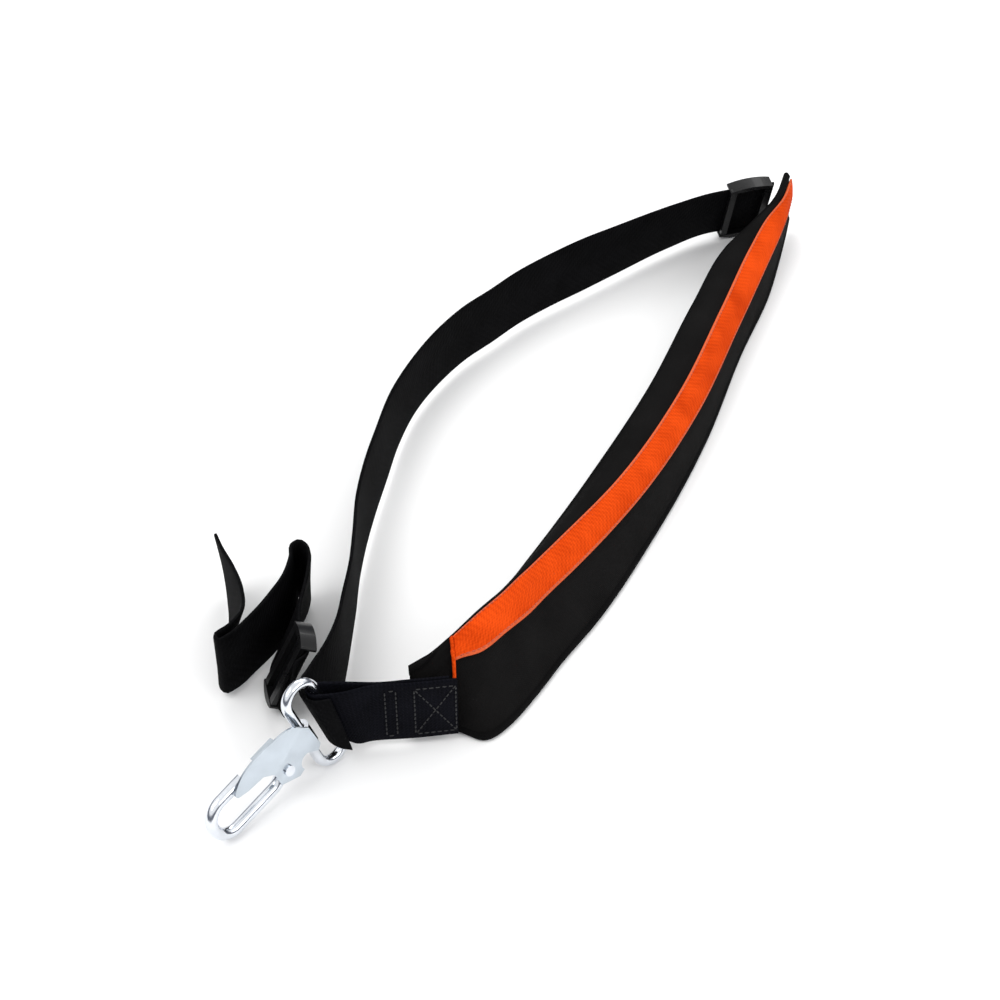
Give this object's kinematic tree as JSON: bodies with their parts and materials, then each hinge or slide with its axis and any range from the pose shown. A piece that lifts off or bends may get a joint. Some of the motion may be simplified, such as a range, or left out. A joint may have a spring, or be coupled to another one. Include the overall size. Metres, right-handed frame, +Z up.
{
  "type": "carrying strap with snap hook",
  "caption": "Padded shoulder strap standing on its edges: black webbing loop, long pad with an orange stripe, plastic sliders, and a metal eye carrying a sprung snap hook.",
  "frame": {"origin": "middle of the whole object's box, at the level of its lowest edge", "axes": "+Z up with the strap standing on its edges, +Y along the longest side from the hook end to the pad's far end"},
  "size_m": [0.326, 0.484, 0.0518],
  "materials": {
    "webbing": "woven black webbing, low sheen",
    "cover": "black woven cloth, matt",
    "foam": "closed-cell foam, matt",
    "stripe": "orange woven webbing, low sheen",
    "binding": "black tape, matt",
    "thread": "black thread",
    "orange_thread": "orange thread",
    "slider": "black moulded plastic, glossy",
    "zinc": "bright zinc plating",
    "spring": "spring steel"
  },
  "bodies": {
    "strap": {"main_webbing": "webbing", "tail_webbing": "webbing", "short_webbing": "webbing", "pad_cover": "cover", "pad_foam": "foam", "pad_lining": "cover", "pad_stripe": "stripe", "pad_binding_upper": "binding", "pad_binding_lower": "binding", "stripe_stitching": "orange_thread", "near_box_stitching": "thread", "far_box_stitching": "thread", "loop_stitching": "thread"},
    "eye": {"webbing_eye": "zinc"},
    "hook": {"hook_body": "zinc", "gate_rivet": "zinc", "gate_spring": "spring"},
    "gate": {"gate": "zinc"},
    "near_slider": {"near_slider": "slider"},
    "far_slider": {"far_slider": "slider"}
  },
  "joints": [
    {"name": "eye_swing", "type": "hinge", "parent": "strap", "child": "eye", "pos_m": [-0.10091, -0.18446, 0.02781], "axis": [0.3355, 0, -0.9421], "range_deg": [-20, 20]},
    {"name": "hook_swing", "type": "hinge", "parent": "eye", "child": "hook", "pos_m": [-0.11109, -0.19626, 0.02419], "axis": [0.3355, 0, -0.9421], "range_deg": [-60, 60]},
    {"name": "gate_swing", "type": "hinge", "parent": "hook", "child": "gate", "pos_m": [-0.12141, -0.20879, 0.01892], "axis": [0.6946, -0.6756, 0.2473], "range_deg": [0, 20], "stiffness_Nm_per_rad": 0.02, "springref_deg": -28.65},
    {"name": "near_slider_slide", "type": "slide", "parent": "strap", "child": "near_slider", "axis": [-0.243, 0.97, 0], "range_m": [0, 0.005]},
    {"name": "far_slider_slide", "type": "slide", "parent": "strap", "child": "far_slider", "axis": [-0.9552, -0.2961, 0], "range_m": [0, 0.01]}
  ]
}
